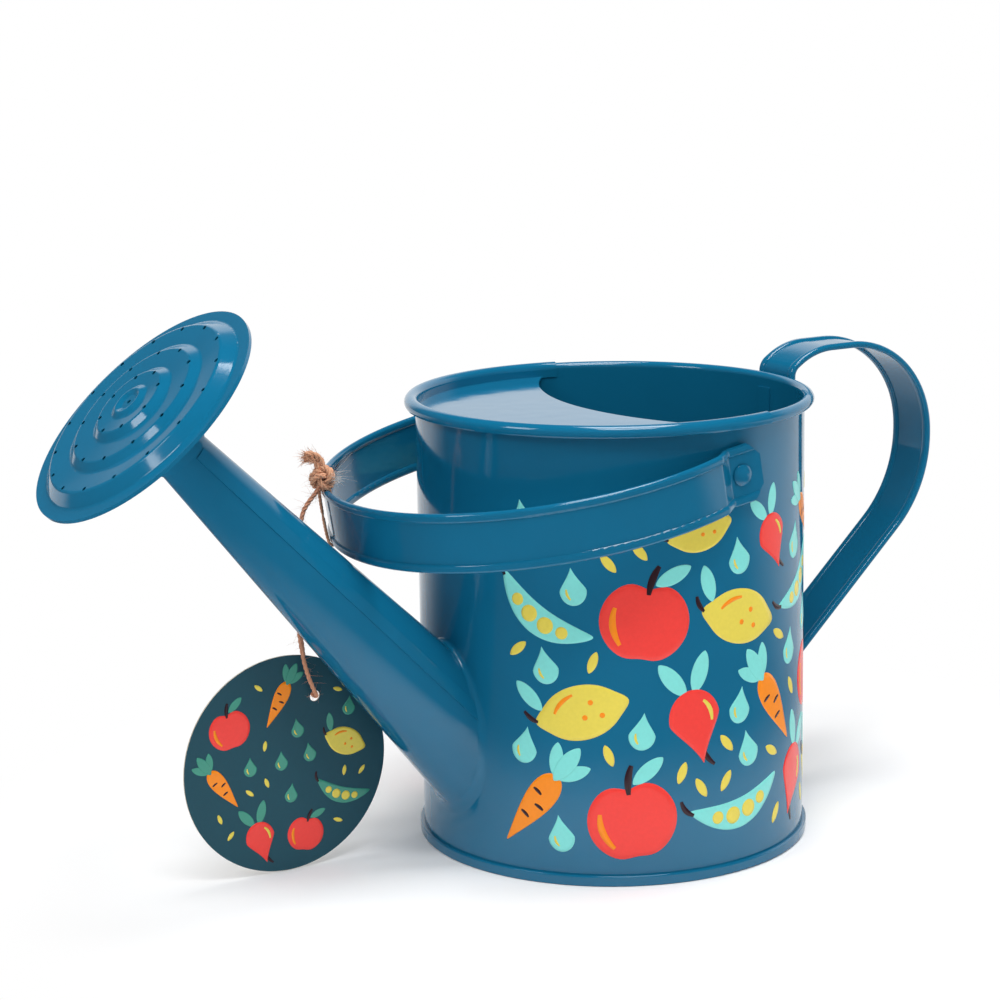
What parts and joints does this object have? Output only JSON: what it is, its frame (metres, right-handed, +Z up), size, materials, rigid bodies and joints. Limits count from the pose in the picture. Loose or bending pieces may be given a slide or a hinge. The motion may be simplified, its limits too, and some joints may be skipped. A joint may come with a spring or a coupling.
{
  "type": "watering can",
  "caption": "Round steel watering can with a splash cover, straight spout with perforated rose, rear strap handle, swinging bail and a tag hung on twine.",
  "frame": {"origin": "on the axis of the round body, at the level of the floor it stands on", "axes": "+Z up along the body's axis, -X towards the spout, +X towards the rear handle, Y across the can along the bail's pivot line"},
  "size_m": [0.3177, 0.1442, 0.1814],
  "materials": {
    "body_paint": "glossy enamel on thin steel sheet",
    "base_paint": "glossy enamel on thin steel sheet",
    "cover_paint": "glossy enamel on thin steel sheet",
    "spout_paint": "glossy enamel on thin steel sheet",
    "rose_paint": "glossy enamel on thin steel sheet",
    "handle_paint": "glossy enamel on thin steel sheet",
    "bail_paint": "glossy enamel on thin steel sheet",
    "rivet_paint": "glossy enamel on thin steel sheet",
    "jute": "coarse twisted natural fibre",
    "tag_card": "matt printed card, wood pulp"
  },
  "bodies": {
    "can": {"body_wall": "body_paint", "base_plate": "base_paint", "splash_cover": "cover_paint", "spout_tube": "spout_paint", "rose_back": "rose_paint", "rose_face": "rose_paint", "rear_handle": "handle_paint", "bail_rivet_near": "rivet_paint", "bail_rivet_far": "rivet_paint"},
    "bail": {"bail_handle": "bail_paint", "twine_knot": "jute"},
    "tag": {"twine_cord": "jute", "hang_tag": "tag_card"}
  },
  "joints": [
    {"name": "bail_swing", "type": "hinge", "parent": "can", "child": "bail", "pos_m": [0.0061, 0, 0.127], "axis": [0, 1, 0], "range_deg": [0, 160]},
    {"name": "tag_swing", "type": "hinge", "parent": "bail", "child": "tag", "pos_m": [-0.0934, 0.021, 0.122], "axis": [0, 1, 0], "range_deg": [-73.6, 0], "deforming": ["twine_cord"]}
  ],
  "couplings": [
    {"joint": "tag_swing", "follows": "bail_swing", "ratio": -0.46}
  ]
}
